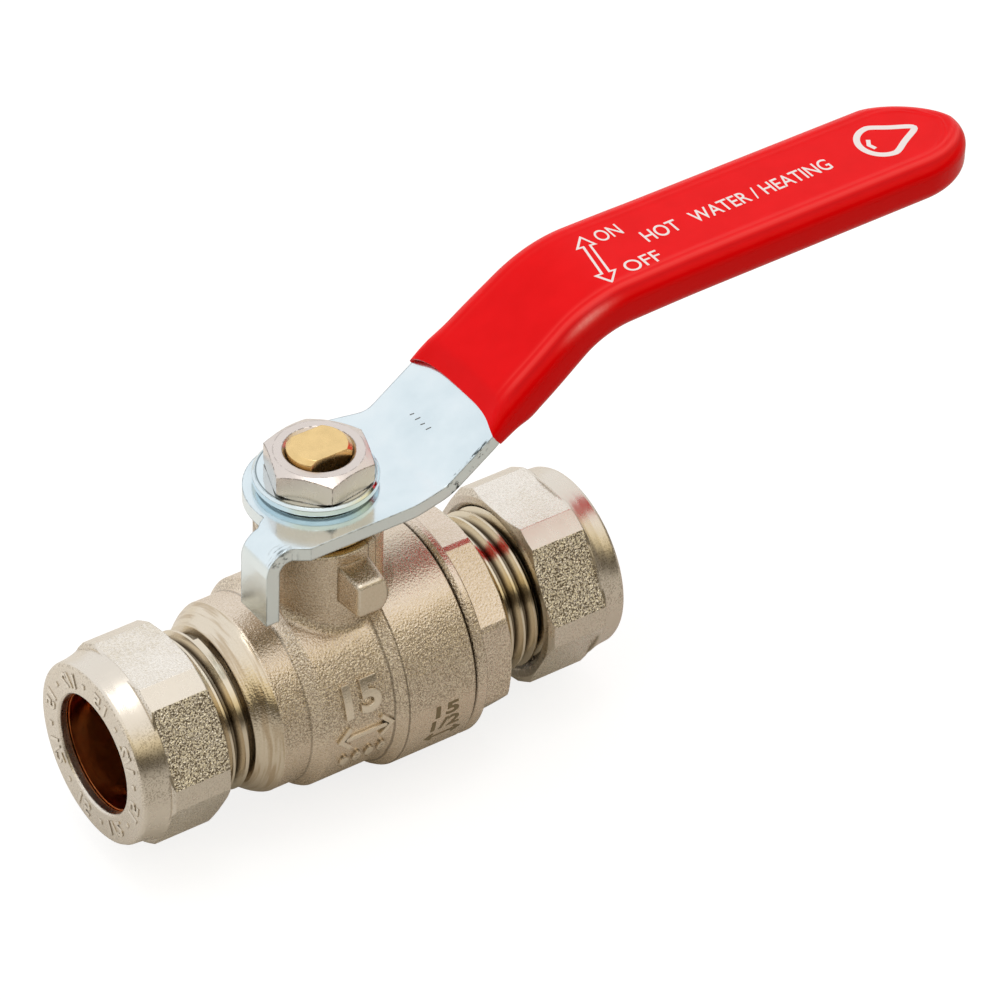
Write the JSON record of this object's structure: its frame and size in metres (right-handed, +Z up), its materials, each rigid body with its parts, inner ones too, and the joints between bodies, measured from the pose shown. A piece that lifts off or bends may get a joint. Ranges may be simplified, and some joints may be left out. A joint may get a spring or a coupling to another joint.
{
  "type": "ball valve",
  "caption": "Lever-operated ball valve with a compression fitting at each end; the cranked, sleeved lever turns the ball to open or shut a straight pipe run.",
  "frame": {"origin": "on the pipe axis at the pipe stop inside the inlet socket", "axes": "+X along the pipe towards the outlet and towards the lever's grip when open, +Z up the stem, -Y the side of the front stop lug seen from the front"},
  "size_m": [0.1276, 0.0302, 0.0616],
  "materials": {
    "nickel_brass": "shot-blasted brass with satin nickel plate",
    "raw_brass": "machined bright brass",
    "plated_ball": "polished, chrome plated",
    "copper": "annealed copper",
    "zinc_steel": "bright zinc plate",
    "nickel_steel": "nickel plate",
    "red_pvc": "dipped PVC, glossy",
    "ptfe": "PTFE, white",
    "epdm": "moulded rubber"
  },
  "bodies": {
    "valve": {"valve_body": "nickel_brass", "end_connector": "nickel_brass", "connector_seal": "epdm", "seat_ring_inlet": "ptfe", "seat_ring_outlet": "ptfe", "stem_thrust_washer": "ptfe", "packing_ring_lower": "ptfe", "packing_ring_upper": "ptfe", "gland_nut": "raw_brass"},
    "lever": {"stem": "raw_brass", "stem_o_ring_lower": "epdm", "stem_o_ring_upper": "epdm", "lever_arm": "zinc_steel", "lever_sleeve": "red_pvc", "lever_washer": "zinc_steel", "lever_nut": "nickel_steel"},
    "ball": {"ball": "plated_ball"},
    "olive_in": {"olive_inlet": "copper"},
    "nut_in": {"compression_nut_inlet": "nickel_brass"},
    "olive_out": {"olive_outlet": "copper"},
    "nut_out": {"compression_nut_outlet": "nickel_brass"}
  },
  "joints": [
    {"name": "lever_turn", "type": "hinge", "parent": "valve", "child": "lever", "pos_m": [0.0125, 0, 0.0268], "axis": [0, 0, 1], "range_deg": [-90, 0]},
    {"name": "ball_turn", "type": "hinge", "parent": "valve", "child": "ball", "pos_m": [0.0125, 0, 0], "axis": [0, 0, 1], "range_deg": [-90, 0]},
    {"name": "inlet_olive_slide", "type": "slide", "parent": "valve", "child": "olive_in", "axis": [-1, 0, 0], "range_m": [0, 0.005]},
    {"name": "inlet_nut_turn", "type": "hinge", "parent": "olive_in", "child": "nut_in", "pos_m": [0, 0, 0], "axis": [-1, 0, 0], "range_deg": [0, 990]},
    {"name": "outlet_olive_slide", "type": "slide", "parent": "valve", "child": "olive_out", "axis": [1, 0, 0], "range_m": [0, 0.005]},
    {"name": "outlet_nut_turn", "type": "hinge", "parent": "olive_out", "child": "nut_out", "pos_m": [0.0305, 0, 0], "axis": [1, 0, 0], "range_deg": [0, 990]}
  ],
  "couplings": [
    {"joint": "ball_turn", "follows": "lever_turn", "ratio": 1},
    {"joint": "inlet_olive_slide", "follows": "inlet_nut_turn", "m_per_rad": 0.00028871},
    {"joint": "outlet_olive_slide", "follows": "outlet_nut_turn", "m_per_rad": 0.00028871}
  ]
}
